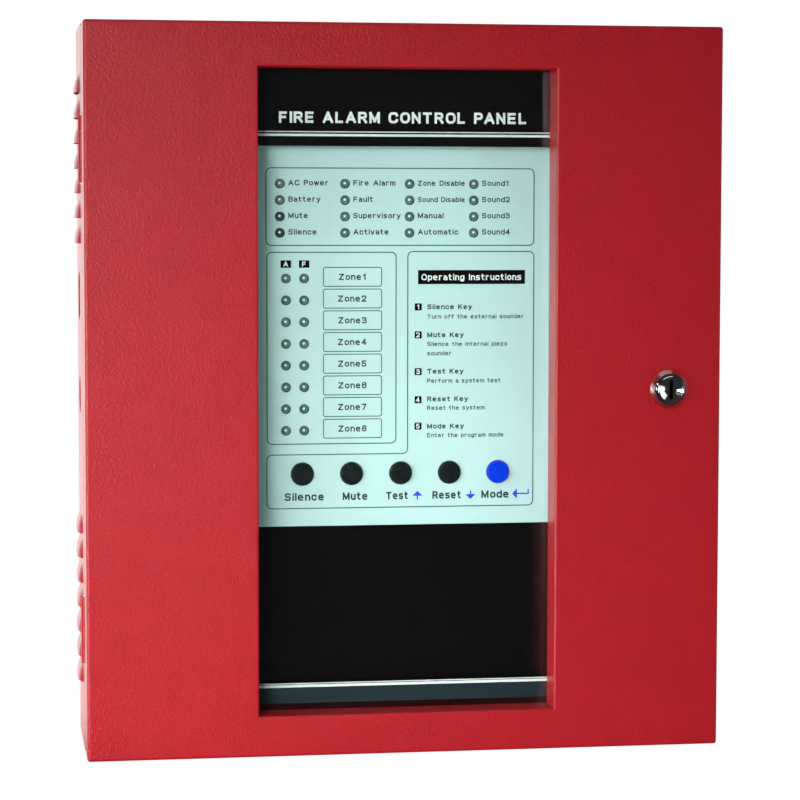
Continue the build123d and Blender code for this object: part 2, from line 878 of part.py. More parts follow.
def battery_span():
    return battery_x - battery_w / 2, battery_x + battery_w / 2


def battery(floor):
    """A sealed block with a lid a little smaller than its case."""
    x0, x1 = battery_span()
    y0, y1 = back_y - battery_d, back_y
    lid_z, top = floor + battery_h - lid, floor + battery_h
    step = 0.8
    case = block(x0, x1, y0, y1, floor, lid_z)
    case = fillet(case.edges().filter_by(Axis.Z), 1.5)
    cover = block(x0 + step, x1 - step, y0 + step, y1 - step, lid_z, top)
    return case + fillet(cover.edges().filter_by(Axis.Z), 1.5)


def battery_tabs():
    """Four push-on tabs, two to a battery."""
    tabs = []
    for floor in battery_floors:
        top = floor + battery_h
        for side in (-1, 1):
            x = battery_x + side * (battery_w / 2 - tab_inset)
            tabs.append(block(x - 0.4, x + 0.4, tab_y - 2.4, tab_y + 2.4, top, top + tab_tall))
    return tabs


def battery_shelf():
    """An angle that carries the upper battery, with a low front edge and a foot on the back wall."""
    x0, x1 = battery_x - battery_w / 2 - 4, battery_x + battery_w / 2 + 4
    front = back_y - battery_d - 3.8
    z1 = shelf_z + sheet
    return joined([
        block(x0, x1, front, back_y, shelf_z, z1),
        block(x0, x1, front, front + sheet, shelf_z, z1 + 7),
        block(x0, x1, back_y - sheet, back_y, shelf_z - 9, z1),
    ])


def battery_strap(z):
    """A flat hoop round a battery's front, with a screwed foot at each side."""
    x0, x1 = battery_span()
    front = back_y - battery_d - strap
    top = z + strap_width
    pieces = [block(x0 - strap, x1 + strap, front, front + strap, z, top)]
    for x, side in ((x0, -1), (x1, 1)):
        outer = x + side * strap
        pieces.append(block(x, outer, front, back_y, z, top))
        pieces.append(block(outer, outer + side * strap_foot, back_y - strap, back_y, z, top))
    return joined(pieces)


def strap_screw_places():
    reach = battery_w / 2 + strap + strap_foot / 2
    return [(battery_x + side * reach, z + strap_width / 2) for side in (-1, 1) for z in strap_bands]


def lead(points, radii):
    """A round lead along straight runs and tangent arcs."""
    route = FilletPolyline(*points, radius=radii) if radii else Line(*points)
    return sweep(Plane(origin=route @ 0, z_dir=route % 0) * Circle(lead_r), path=route)


def battery_leads():
    """The positive lead, the negative lead and the link between the batteries."""
    lower_top, upper_top = [floor + battery_h for floor in battery_floors]
    tab_top = upper_top + tab_tall
    left = battery_x - battery_w / 2 + tab_inset
    right = battery_x + battery_w / 2 - tab_inset
    board_foot = -33.0
    red = lead([(right, tab_y, tab_top), (right, tab_y, board_foot)], None)
    across = lower_top + 4.5
    round_x, front_y, beside = 67.0, -38.5, right + terminal_pitch
    black = lead([(right + 0.4, tab_y, across), (round_x, tab_y, across), (round_x, tab_y, front_y),
                  (beside, tab_y, front_y), (beside, tab_y, board_foot)], [6, 5.5, 5.4])
    outer = battery_x - battery_w / 2 - 9
    over = upper_top + 15
    link = lead([(left - 0.4, tab_y, across), (outer, tab_y, across), (outer, tab_y, over),
                 (left, tab_y, over), (left, tab_y, tab_top)], [6, 6, 6])
    return red, black, link


# Fasteners, grouped by size


def m3_screws():
    front = [screw(x, z, main_board_y, m3_r, 2.8, 2.0, 7, 1) for x, z in standoff_places()]
    rear_y = display_board_y + board
    rear = [screw(x, z, rear_y, m3_r, 2.8, 2.0, 6, -1) for x, z in display_spacer_places()]
    return front + rear


def m4_screws():
    rail_y = box_front_y - rail
    groups = [
        (plate_screw_places(), plate_y, 6.2),
        (rail_screw_places(), rail_y, 4.5),
        (frame_screw_places(), back_y - sheet, 2.4),
        (shelf_screw_places, back_y - sheet, 2.4),
        (strap_screw_places(), back_y - strap, 2.2),
    ]
    return [screw(x, z, y, m4_r, 3.8, 2.2, length, 1) for places, y, length in groups
            for x, z in places]


def bored(piece, places, radius):
    """A piece with a screw hole along Y at each place."""
    return piece - [rod(x, z, radius, -depth, 5) for x, z in places]


def build():
    back_holes = [*frame_screw_places(), *shelf_screw_places, *strap_screw_places()]
    save("box_wrap", bored(box_wrap(), back_holes, m4_r))
    right = right_side()
    rail_holes = [rod(x, z, m4_r, box_front_y - 1, box_front_y + 3) for x, z in rail_screw_places()]
    save("box_side_right", right - rail_holes)
    save("box_side_left", left_side(right) - rail_holes)
    save("hinge_box_leaves", *[hinge_box_leaf(z) for z in hinge_heights])
    save("hinge_pins", *[hinge_pin(z) for z in hinge_heights])
    save("earth_stud", earth_stud())
    save("earth_nuts", *earth_nuts())

    save("display_rails", *rails())
    save("display_spacers", *display_spacers())
    save("display_plate", display_plate())
    save("display_overlay", display_overlay())
    status, zone = lamp_places()
    save("status_lamps", *[lamp(x, z) for x, z in status])
    save("zone_lamps", *[lamp(x, z) for x, z in zone])
    save("display_board", display_board())
    save("display_board_spacers", *display_board_spacers())
    save("key_switches", *key_switches())
    save("piezo_sounder", sounder())
    for name, x in zip(key_names, key_xs()):
        save(f"key_{name}", key(x))

    save("main_board", main_board())
    save("board_standoffs", *standoffs())
    save("terminal_blocks", *terminal_blocks())
    save("terminal_screws", *terminal_screws())
    save("relays", *relays())
    save("capacitors", *capacitors())
    save("heatsink", heatsink())
    save("regulators", *[regulator(x) for x in regulator_xs])
    save("fuses", *[fuse(x) for x in fuse_xs()])
    save("fuse_clips", *[clip for x in fuse_xs() for clip in fuse_clips(x)])
    save("logic_chips", *logic_chips())
    save("ribbon_headers", *ribbon_headers())
    save("ribbon_cable", ribbon_cable())

    save("transformer_core", transformer_core())
    save("transformer_winding", transformer_winding())
    save("transformer_frame", bored(transformer_frame(), frame_screw_places(), m4_r))
    save("mains_terminal_block", mains_block())
    save("battery_lower", battery(battery_floors[0]))
    save("battery_upper", battery(battery_floors[1]))
    save("battery_tabs", *battery_tabs())
    save("battery_shelf", bored(battery_shelf(), shelf_screw_places, m4_r))
    save("battery_straps", *[bored(battery_strap(z), strap_screw_places(), m4_r) for z in strap_bands])
    red, black, link = battery_leads()
    save("battery_lead_red", red)
    save("battery_lead_black", black)
    save("battery_link", link)
    save("m3_screws", *m3_screws())
    save("m4_screws", *m4_screws())

    save("door_panel", door_panel())
    save("hinge_door_leaves", *[hinge_door_leaf(z) for z in hinge_heights])
    save("window_pane", opening(pane_border, pane_y, pane_y + pane))
    save("window_studs", *[rod(x, z, stud_r, -depth + sheet, stud_end_y) for x, z in stud_places()])
    save("window_retainers", *window_retainers())
    save("window_nuts", *window_nuts())
    save("lock_body", lock_body())
    save("lock_nut", lock_nut())
    save("lock_plug", lock_plug())
    save("lock_cam", lock_cam())
    save("cam_screw", screw(lock_x, 0, cam_y + cam, 1.9, 3.8, 2.2, 8, -1))


build()
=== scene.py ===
import json
from math import pi, radians

import bmesh
import bpy
import numpy as np
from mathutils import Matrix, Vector


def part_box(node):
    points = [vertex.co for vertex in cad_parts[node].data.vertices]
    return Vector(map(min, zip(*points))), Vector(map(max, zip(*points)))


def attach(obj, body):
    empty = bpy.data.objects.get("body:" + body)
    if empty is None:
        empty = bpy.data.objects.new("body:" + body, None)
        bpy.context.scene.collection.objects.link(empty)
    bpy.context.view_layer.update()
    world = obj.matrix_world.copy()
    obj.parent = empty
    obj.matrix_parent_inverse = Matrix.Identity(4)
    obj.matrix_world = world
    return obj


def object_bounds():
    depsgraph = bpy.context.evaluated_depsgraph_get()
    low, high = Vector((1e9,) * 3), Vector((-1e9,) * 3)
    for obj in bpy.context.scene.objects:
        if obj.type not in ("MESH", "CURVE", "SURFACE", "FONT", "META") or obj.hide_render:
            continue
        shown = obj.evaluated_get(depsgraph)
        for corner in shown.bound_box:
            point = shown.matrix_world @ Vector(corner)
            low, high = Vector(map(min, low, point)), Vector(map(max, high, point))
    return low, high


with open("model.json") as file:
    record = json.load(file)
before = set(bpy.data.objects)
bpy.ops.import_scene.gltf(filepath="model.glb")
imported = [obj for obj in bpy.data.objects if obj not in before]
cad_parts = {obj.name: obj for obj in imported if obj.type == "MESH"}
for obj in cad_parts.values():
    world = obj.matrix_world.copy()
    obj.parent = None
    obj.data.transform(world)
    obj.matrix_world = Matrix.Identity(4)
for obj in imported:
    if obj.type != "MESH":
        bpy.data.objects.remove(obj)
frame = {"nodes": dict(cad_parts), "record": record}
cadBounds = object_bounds()
scene = bpy.context.scene
mm = 0.001
print("frame loaded:", len(frame["nodes"]), "nodes")


# materials: small helpers

def display(red, green, blue):
    # a colour as a screen shows it, 0 to 255, turned into the linear one that shaders take
    shown = np.array([red, green, blue]) / 255
    return tuple(np.where(shown < 0.04045, shown / 12.92, ((shown + 0.055) / 1.055) ** 2.4))


def startMaterial(name, colour, roughness, metallic=0.0):
    material = bpy.data.materials.new(name)
    material.use_nodes = True
    shader = material.node_tree.nodes["Principled BSDF"]
    shader.inputs["Base Color"].default_value = (*colour, 1)
    shader.inputs["Roughness"].default_value = roughness
    shader.inputs["Metallic"].default_value = metallic
    return material, shader


def addNode(material, kind, inputs=None, **settings):
    made = material.node_tree.nodes.new(kind)
    for key, value in settings.items():
        setattr(made, key, value)
    for key, value in (inputs or {}).items():
        if isinstance(value, bpy.types.NodeSocket):
            material.node_tree.links.new(value, made.inputs[key])
        else:
            made.inputs[key].default_value = value
    return made


def wire(material, output, target):
    material.node_tree.links.new(output, target)


def objectPoints(material, stretch=(1, 1, 1), turn=(0, 0, 0), shift=(0, 0, 0)):
    source = addNode(material, "ShaderNodeTexCoord").outputs["Object"]
    inputs = {"Vector": source, "Location": shift, "Rotation": turn, "Scale": stretch}
    return addNode(material, "ShaderNodeMapping", inputs).outputs[0]


def grain(material, size, detail=3.0, points=None):
    # noise whose features are about size millimetres across
    points = points or objectPoints(material)
    inputs = {"Vector": points, "Scale": 1 / (size * mm), "Detail": detail}
    return addNode(material, "ShaderNodeTexNoise", inputs).outputs["Fac"]


def spread(material, value, low, high, start=0.3, end=0.7):
    inputs = {"Value": value, "From Min": start, "From Max": end, "To Min": low, "To Max": high}
    return addNode(material, "ShaderNodeMapRange", inputs).outputs[0]


def mixColours(material, factor, first, second):
    made = addNode(material, "ShaderNodeMix", data_type="RGBA")
    for socket, value in zip((made.inputs[0], made.inputs[6], made.inputs[7]), (factor, first, second)):
        if isinstance(value, bpy.types.NodeSocket):
            wire(material, value, socket)
        elif isinstance(value, float):
            socket.default_value = value
        else:
            socket.default_value = (*value, 1)
    return made.outputs[2]


def combine(material, operation, first, second):
    inputs = {0: first, 1: second}
    return addNode(material, "ShaderNodeMath", inputs, operation=operation).outputs[0]


def addBump(material, shader, height, depth, strength=1.0):
    # depth is in millimetres
    inputs = {"Height": height, "Strength": strength, "Distance": depth * mm}
    wire(material, addNode(material, "ShaderNodeBump", inputs).outputs[0], shader.inputs["Normal"])


def tinted(material, shader, first, second, size):
    # the base colour drifts between two shades
    drift = spread(material, grain(material, size), 0.0, 1.0)
    wire(material, mixColours(material, drift, first, second), shader.inputs["Base Color"])


# materials: finishes, each with its own dictionary and function. Sizes and depths are in
# millimetres, and a pair such as "shine" gives the least and the most roughness

powder = {"shade": display(180, 9, 27), "deep": display(172, 7, 24), "drift": 14, "roughness": 0.36,
          "shine": (0.31, 0.42), "pebble": 0.9, "speck": 0.33, "speckShare": 0.35,
          "pebbleDepth": 0.45, "bump": 0.55, "coat": 0.12, "coatRoughness": 0.22}


def redPowderCoat():
    # orange peel: rounded pebbles with finer specks on them, under a thin gloss
    material, shader = startMaterial("redPowderCoat", powder["shade"], powder["roughness"])
    tinted(material, shader, powder["shade"], powder["deep"], powder["drift"])
    pebbles = grain(material, powder["pebble"], 2)
    specks = grain(material, powder["speck"], 2)
    share = combine(material, "MULTIPLY", specks, powder["speckShare"])
    addBump(material, shader, combine(material, "ADD", pebbles, share), powder["pebbleDepth"],
            powder["bump"])
    wire(material, spread(material, specks, *powder["shine"]), shader.inputs["Roughness"])
    shader.inputs["Coat Weight"].default_value = powder["coat"]
    shader.inputs["Coat Roughness"].default_value = powder["coatRoughness"]
    return material


plastic = {"drift": 9, "bump": 0.5, "shinier": 0.05, "duller": 0.07}


def plainPlastic(name, colour, other, roughness=0.42, size=0.5, depth=0.012):
    # moulded plastic: a faint drift of colour over a fine spark-eroded skin
    material, shader = startMaterial(name, colour, roughness)
    tinted(material, shader, colour, other, plastic["drift"])
    skin = grain(material, size, 2)
    addBump(material, shader, skin, depth, plastic["bump"])
    shine = spread(material, skin, roughness - plastic["shinier"], roughness + plastic["duller"])
    wire(material, shine, shader.inputs["Roughness"])
    return material


metal = {"streak": (1, 1, 12), "streakSize": 0.5, "streakShare": 0.6, "cloud": 7, "cloudShare": 0.5,
         "shinier": 0.08, "duller": 0.1, "dim": 0.78, "scratch": 0.006, "bump": 0.35}


def metalSheet(name, colour, roughness):
    # plated or rolled metal: fine streaks one way, and clouds in its shine
    material, shader = startMaterial(name, colour, roughness, 1.0)
    streaks = grain(material, metal["streakSize"], 3, objectPoints(material, metal["streak"]))
    clouds = grain(material, metal["cloud"], 4)
    both = combine(material, "ADD", combine(material, "MULTIPLY", streaks, metal["streakShare"]),
                   combine(material, "MULTIPLY", clouds, metal["cloudShare"]))
    shine = spread(material, both, roughness - metal["shinier"], roughness + metal["duller"])
    wire(material, shine, shader.inputs["Roughness"])
    dim = tuple(metal["dim"] * c for c in colour)
    wire(material, mixColours(material, spread(material, clouds, 0.0, 1.0), colour, dim),
         shader.inputs["Base Color"])
    addBump(material, shader, streaks, metal["scratch"], metal["bump"])
    return material


chrome = {"shade": display(236, 236, 238), "roughness": 0.07, "haze": 1.6, "shine": (0.05, 0.13),
          "ripple": 0.25, "rippleDepth": 0.0008, "bump": 0.3}


def chromePlate():
    material, shader = startMaterial("chromePlate", chrome["shade"], chrome["roughness"], 1.0)
    haze = grain(material, chrome["haze"], 4)
    wire(material, spread(material, haze, *chrome["shine"]), shader.inputs["Roughness"])
    ripple = grain(material, chrome["ripple"], 2)
    addBump(material, shader, ripple, chrome["rippleDepth"], chrome["bump"])
    return material


# edge is a painted shade: the colour the film's left strip fades into, standing in for the window recess's
# shadow
film = {"light": display(198, 229, 227), "shade": display(193, 225, 223), "drift": 60,
        "edge": display(166, 212, 204), "recessShadeFrom": -76, "recessShadeTo": -58,
        "roughness": 0.42, "shine": (0.36, 0.48), "velvet": 0.18, "velvetDepth": 0.006, "bump": 0.4}


def overlayFilm():
    # pale film with a painted shade on its left strip, darker and greener where the window recess shades
    # it, under a fine velvet texture
    material, shader = startMaterial("overlayFilm", film["light"], film["roughness"])
    drift = spread(material, grain(material, film["drift"]), 0.0, 1.0)
    pale = mixColours(material, drift, film["light"], film["shade"])
    source = addNode(material, "ShaderNodeTexCoord").outputs["Object"]
    across = addNode(material, "ShaderNodeSeparateXYZ", {0: source}).outputs["X"]
    # painted shade: towards the left edge the colour fades to the darker edge colour, in place of the
    # recess's shadow
    paintedRecessShade = spread(material, across, 1.0, 0.0, film["recessShadeFrom"] * mm, film["recessShadeTo"] * mm)
    wire(material, mixColours(material, paintedRecessShade, pale, film["edge"]), shader.inputs["Base Color"])
    velvet = grain(material, film["velvet"], 2)
    addBump(material, shader, velvet, film["velvetDepth"], film["bump"])
    wire(material, spread(material, velvet, *film["shine"]), shader.inputs["Roughness"])
    return material


inkCoat = {"thin": 0.88, "drift": 1.4, "tooth": 0.3, "shinier": 0.05, "duller": 0.06}


def printInk(name, colour, other=None, roughness=0.45):
    # screen-printed ink: a solid colour with a slightly uneven laydown
    material, shader = startMaterial(name, colour, roughness)
    thin = other or tuple(inkCoat["thin"] * c for c in colour)
    tinted(material, shader, colour, thin, inkCoat["drift"])
    tooth = grain(material, inkCoat["tooth"], 2)
    shine = spread(material, tooth, roughness - inkCoat["shinier"], roughness + inkCoat["duller"])
    wire(material, shine, shader.inputs["Roughness"])
    return material


acrylic = {"shade": display(246, 253, 251), "roughness": 0.0, "bending": 1.49}


def clearAcrylic():
    # rays from lamps pass straight through, so what lies behind the pane is lit
    material, shader = startMaterial("clearAcrylic", acrylic["shade"], acrylic["roughness"])
    shader.inputs["Transmission Weight"].default_value = 1.0
    shader.inputs["IOR"].default_value = acrylic["bending"]
    shadow = addNode(material, "ShaderNodeLightPath").outputs["Is Shadow Ray"]
    clear = addNode(material, "ShaderNodeBsdfTransparent")
    through = addNode(material, "ShaderNodeMixShader", {0: shadow})
    wire(material, shader.outputs[0], through.inputs[1])
    wire(material, clear.outputs[0], through.inputs[2])
    ending = material.node_tree.nodes["Material Output"]
    wire(material, through.outputs[0], ending.inputs["Surface"])
    return material


# the pale colour, its facing direction and its edges paint a highlight into the lens colour
lens = {"grey": display(112, 124, 120), "teal": display(74, 122, 114), "dark": display(46, 76, 76),
        "tealShare": 0.6, "pitch": (33.43, 1, 8.333), "statusFoot": 70, "firstColumn": -47,
        "greyFoot": 92, "paintedHighlight": display(226, 238, 234), "highlightAxis": (-0.13, -0.983, 0.13),
        "highlightEdge": (0.955, 0.985), "roughness": 0.16, "shine": (0.12, 0.22), "cloud": 0.8,
        "milk": 0.15, "milkReach": 0.001, "coat": 0.6, "coatRoughness": 0.05}


def lampLens():
    # unlit lamps: the first status column is grey above and dark below, and the others lie between
    # teal and grey, where white noise picks a shade for each cell of their grid
    material, shader = startMaterial("lampLens", lens["teal"], lens["roughness"])
    steps = tuple(1 / (pitch * mm) for pitch in lens["pitch"])
    cell = addNode(material, "ShaderNodeVectorMath", {0: objectPoints(material, steps)}, operation="FLOOR")
    pick = addNode(material, "ShaderNodeTexWhiteNoise", {"Vector": cell.outputs[0]}).outputs["Value"]
    greyness = spread(material, pick, 0.0, lens["tealShare"], 0.0, 1.0)
    others = mixColours(material, greyness, lens["teal"], lens["grey"])
    source = addNode(material, "ShaderNodeTexCoord").outputs
    place = addNode(material, "ShaderNodeSeparateXYZ", {0: source["Object"]}).outputs
    upper = spread(material, place["Z"], 0.0, 1.0, (lens["greyFoot"] - 1) * mm, lens["greyFoot"] * mm)
    status = spread(material, place["Z"], 0.0, 1.0, (lens["statusFoot"] - 1) * mm, lens["statusFoot"] * mm)
    left = spread(material, place["X"], 1.0, 0.0, (lens["firstColumn"] - 1) * mm, lens["firstColumn"] * mm)
    first = mixColours(material, upper, lens["dark"], lens["grey"])
    shade = mixColours(material, combine(material, "MULTIPLY", left, status), others, first)
    # a painted highlight: a near-white patch where the dome's normal faces a little up and left of
    # straight out, so it sits above and left of the dome's middle
    facing = addNode(material, "ShaderNodeVectorMath", {0: source["Normal"], 1: lens["highlightAxis"]},
                     operation="DOT_PRODUCT").outputs["Value"]
    paintedHighlight = spread(material, facing, 0.0, 1.0, *lens["highlightEdge"])
    wire(material, mixColours(material, paintedHighlight, shade, lens["paintedHighlight"]), shader.inputs["Base Color"])
    shader.inputs["Subsurface Weight"].default_value = lens["milk"]
    shader.inputs["Subsurface Radius"].default_value = (lens["milkReach"],) * 3
    shader.inputs["Subsurface Scale"].default_value = 1.0
    shader.inputs["Coat Weight"].default_value = lens["coat"]
    shader.inputs["Coat Roughness"].default_value = lens["coatRoughness"]
    cloudy = grain(material, lens["cloud"], 2)
    wire(material, spread(material, cloudy, *lens["shine"]), shader.inputs["Roughness"])
    return material


board = {"mask": display(18, 92, 48), "copper": display(44, 128, 66), "ground": display(14, 78, 42),
         "blotch": 22, "blotchEdge": (0.46, 0.54), "roughness": 0.28,
         "trackPitch": 2.54, "trackGap": 0.09, "trackSoftness": 0.2, "trackRun": 3.0,
         "trackOffset": 0.37, "trackSquash": 0.6, "squashEvery": 3, "trackDepth": 0.03, "bump": 0.6}


def circuitBoard():
    # tracks show through the green mask as raised lines on a grid, with pads where cells meet
    material, shader = startMaterial("circuitBoard", board["mask"], board["roughness"])
    points = objectPoints(material, (1, 1, 1), (pi / 2, 0, 0))
    inputs = {"Vector": points, "Scale": 1 / (board["trackPitch"] * mm), "Row Height": 1.0,
              "Mortar Size": board["trackGap"], "Mortar Smooth": board["trackSoftness"],
              "Brick Width": board["trackRun"]}
    tracks = addNode(material, "ShaderNodeTexBrick", inputs, offset=board["trackOffset"],
                     squash=board["trackSquash"], squash_frequency=board["squashEvery"])
    blotch = spread(material, grain(material, board["blotch"]), 0.0, 1.0, *board["blotchEdge"])
    base = mixColours(material, blotch, board["mask"], board["ground"])
    lines = combine(material, "MULTIPLY", tracks.outputs["Fac"], blotch)
    wire(material, mixColours(material, lines, base, board["copper"]), shader.inputs["Base Color"])
    addBump(material, shader, lines, board["trackDepth"], board["bump"])
    return material


battery = {"first": display(58, 60, 63), "light": display(60, 62, 65), "deep": display(50, 52, 55),
           "drift": 18, "roughness": 0.5, "shine": (0.42, 0.6), "leather": 0.7, "leatherSpan": 0.8,
           "leatherDepth": 0.03, "bump": 0.5}


def batteryCase():
    # a moulded leather grain: the distance to the nearest of many scattered points
    material, shader = startMaterial("batteryCase", battery["first"], battery["roughness"])
    tinted(material, shader, battery["light"], battery["deep"], battery["drift"])
    inputs = {"Vector": objectPoints(material), "Scale": 1 / (battery["leather"] * mm)}
    leather = addNode(material, "ShaderNodeTexVoronoi", inputs).outputs["Distance"]
    addBump(material, shader, leather, battery["leatherDepth"], battery["bump"])
    shine = spread(material, leather, *battery["shine"], 0.0, battery["leatherSpan"])
    wire(material, shine, shader.inputs["Roughness"])
    return material


def bands(material, pitch, direction, waver=0.0, detail=2.0, profile="SIN"):
    # a wave across one direction: it goes from 0 to 1 and back in 0.63 of the pitch
    inputs = {"Vector": objectPoints(material), "Scale": 1 / (pitch * mm) / 2, "Distortion": waver,
              "Detail": detail}
    wave = addNode(material, "ShaderNodeTexWave", inputs, bands_direction=direction, wave_profile=profile)
    return wave.outputs["Fac"]


can = {"sleeve": display(22, 30, 66), "stripe": display(176, 184, 196), "roughness": 0.25,
       "stripePitch": 20, "stripeEdge": (0.93, 0.96), "grain": 0.6, "depth": 0.01, "bump": 0.4}


def canSleeve():
    # a dark sleeve with a pale stripe down one side of each can
    material, shader = startMaterial("canSleeve", can["sleeve"], can["roughness"])
    wave = bands(material, can["stripePitch"], "X")
    stripe = spread(material, wave, 0.0, 1.0, *can["stripeEdge"])
    wire(material, mixColours(material, stripe, can["sleeve"], can["stripe"]), shader.inputs["Base Color"])
    addBump(material, shader, grain(material, can["grain"], 2), can["depth"], can["bump"])
    return material


fuse = {"clear": display(225, 232, 230), "smoky": display(196, 206, 204), "roughness": 0.08,
        "cloud": 2.5, "shine": (0.05, 0.14)}


def fuseGlass():
    material, shader = startMaterial("fuseGlass", fuse["clear"], fuse["roughness"])
    cloud = grain(material, fuse["cloud"], 2)
    wire(material, spread(material, cloud, *fuse["shine"]), shader.inputs["Roughness"])
    smoke = spread(material, cloud, 0.0, 1.0)
    wire(material, mixColours(material, smoke, fuse["clear"], fuse["smoky"]), shader.inputs["Base Color"])
    shader.inputs["Coat Weight"].default_value = 1.0
    return material


ribbon = {"middle": display(150, 152, 156), "dark": display(112, 114, 120),
          "light": display(168, 170, 174), "roughness": 0.45, "corePitch": 0.94, "coreDepth": 0.25,
          "bump": 0.8}


def ribbonGrey():
    # thin cores side by side
    material, shader = startMaterial("ribbonGrey", ribbon["middle"], ribbon["roughness"])
    cores = bands(material, ribbon["corePitch"], "X")
    grey = mixColours(material, cores, ribbon["dark"], ribbon["light"])
    wire(material, grey, shader.inputs["Base Color"])
    addBump(material, shader, cores, ribbon["coreDepth"], ribbon["bump"])
    return material


core = {"middle": display(52, 50, 50), "dark": display(34, 32, 32), "light": display(78, 74, 72),
        "roughness": 0.42, "metallic": 0.7, "sheet": 0.5, "waver": 0.4, "sheetDepth": 0.08, "bump": 0.7}


def laminations():
    # the edges of stacked steel sheets
    material, shader = startMaterial("laminations", core["middle"], core["roughness"], core["metallic"])
    sheets = bands(material, core["sheet"], "Y", core["waver"])
    wire(material, mixColours(material, sheets, core["dark"], core["light"]), shader.inputs["Base Color"])
    addBump(material, shader, sheets, core["sheetDepth"], core["bump"])
    return material


tape = {"middle": display(204, 160, 42), "dark": display(176, 132, 30), "light": display(216, 176, 58),
        "roughness": 0.3, "lap": 5, "waver": 1.2, "detail": 1.0, "lapDepth": 0.12, "bump": 0.6}


def windingTape():
    # turns of yellow tape, each lapping the one before
    material, shader = startMaterial("windingTape", tape["middle"], tape["roughness"])
    laps = bands(material, tape["lap"], "Z", tape["waver"], tape["detail"], "SAW")
    wire(material, mixColours(material, laps, tape["dark"], tape["light"]), shader.inputs["Base Color"])
    addBump(material, shader, laps, tape["lapDepth"], tape["bump"])
    return material


sleeve = {"dim": 0.8, "roughness": 0.34, "skin": 0.7, "depth": 0.01}


def leadSleeve(name, colour):
    dim = tuple(sleeve["dim"] * c for c in colour)
    return plainPlastic(name, colour, dim, sleeve["roughness"], sleeve["skin"], sleeve["depth"])


finishes = {
    "red_powder": redPowderCoat(),
    "black_plate": plainPlastic("blackEnamel", display(8, 5, 6), display(6, 4, 5), 0.12, 3.0, 0.0006),
    "overlay_film": overlayFilm(),
    "clear_pane": clearAcrylic(),
    "lamp_lens": lampLens(),
    "board_green": circuitBoard(),
    "black_plastic": plainPlastic("blackPlastic", display(30, 30, 31), display(22, 22, 23), 0.46),
    "key_black": plainPlastic("keyBlack", display(9, 17, 19), display(6, 13, 15), 0.24, 0.6, 0.006),
    "key_blue": plainPlastic("keyBlue", display(0, 58, 226), display(0, 50, 210), 0.18, 0.6, 0.004),
    "terminal_green": plainPlastic("terminalGreen", display(32, 124, 74), display(26, 110, 64), 0.4),
    "relay_blue": plainPlastic("relayBlue", display(36, 78, 150), display(30, 66, 134), 0.34),
    "mains_white": plainPlastic("mainsWhite", display(226, 224, 214), display(214, 211, 200), 0.45),
    "chrome": chromePlate(),
    "zinc": metalSheet("zincPlate", display(188, 191, 194), 0.32),
    "aluminium": metalSheet("bareAluminium", display(205, 206, 208), 0.38),
    "can_sleeve": canSleeve(),
    "fuse_glass": fuseGlass(),
    "brass": metalSheet("tinnedBrass", display(206, 184, 120), 0.28),
    "battery_case": batteryCase(),
    "lead_red": leadSleeve("redSleeve", display(190, 22, 24)),
    "lead_black": leadSleeve("blackSleeve", display(26, 26, 27)),
    "lead_blue": leadSleeve("blueSleeve", display(34, 82, 170)),
    "ribbon_grey": ribbonGrey(),
    "core_steel": laminations(),
    "winding_tape": windingTape(),
}

inks = {
    "dark": printInk("darkInk", display(0, 44, 47)),
    "line": printInk("lineInk", display(30, 98, 96)),
    "black": printInk("blackInk", display(10, 9, 9), display(7, 6, 6), 0.12),
    "white": printInk("whiteInk", display(240, 246, 244)),
    "blue": printInk("blueInk", display(6, 62, 214)),
    "slate": printInk("slateInk", display(24, 42, 48), display(20, 36, 42), 0.3),
}

for part in frame["record"]["subparts"]:
    cadPiece = frame["nodes"][part["node"]]
    cadPiece.data.materials.clear()
    cadPiece.data.materials.append(finishes[part["material_slot"]])
print("finishes made:", len(finishes) + len(inks))


# shapes: small helpers

def makePiece(name, mesh, body, finish):
    # the mesh already lies in its place, so the object stays at the origin
    cleaner = bmesh.new()
    cleaner.from_mesh(mesh)
    bmesh.ops.remove_doubles(cleaner, verts=cleaner.verts, dist=1e-7)
    bmesh.ops.recalc_face_normals(cleaner, faces=cleaner.faces)
    cleaner.to_mesh(mesh)
    cleaner.free()
    mesh.materials.clear()
    mesh.materials.append(finish)
    piece = bpy.data.objects.new(name, mesh)
    scene.collection.objects.link(piece)
    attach(piece, body)
    return piece


def meshFrom(points, faces):
    mesh = bpy.data.meshes.new("shape")
    mesh.from_pydata(points.tolist(), [], [list(face) for face in faces])
    mesh.update()
    return mesh


def gridMesh(points, loopAlong=False, loopRound=False):
    # points[i, j] is the surface at step i along and step j round. Each face joins four
    # neighbours, and a looped direction joins its last step to its first. An open tube gets end caps
    along, around = points.shape[:2]
    index = np.arange(along * around).reshape(along, around)
    ends = [] if loopAlong else [index[0], index[-1][::-1]]
    if loopAlong:
        index = np.vstack([index, index[:1]])
    if loopRound:
        index = np.hstack([index, index[:, :1]])
    quads = np.stack([index[:-1, :-1], index[1:, :-1], index[1:, 1:], index[:-1, 1:]], axis=-1)
    return meshFrom(points.reshape(-1, 3), [*quads.reshape(-1, 4), *ends])


def joinMeshes(meshes):
    collected = bmesh.new()
    for mesh in meshes:
        collected.from_mesh(mesh)
        bpy.data.meshes.remove(mesh)
    joined = bpy.data.meshes.new("joined")
    collected.to_mesh(joined)
    collected.free()
    return joined


def softCorners(corners, radius, steps=7):
    # each corner gives way to a curve that starts and ends one radius from it, with the
    # corner as its handle: (1-t)^2 start + 2t(1-t) corner + t^2 end
    points = np.array(corners, float)
    before = np.roll(points, 1, axis=0) - points
    after = np.roll(points, -1, axis=0) - points
    before /= np.linalg.norm(before, axis=1)[:, None]
    after /= np.linalg.norm(after, axis=1)[:, None]
    t = np.linspace(0, 1, steps)[None, :, None]
    start, end = (points + radius * before)[:, None], (points + radius * after)[:, None]
    return ((1 - t) ** 2 * start + 2 * t * (1 - t) * points[:, None] + t**2 * end).reshape(-1, 2)


def rectangle(x0, x1, z0, z1):
    return [(x0, z0), (x1, z0), (x1, z1), (x0, z1)]


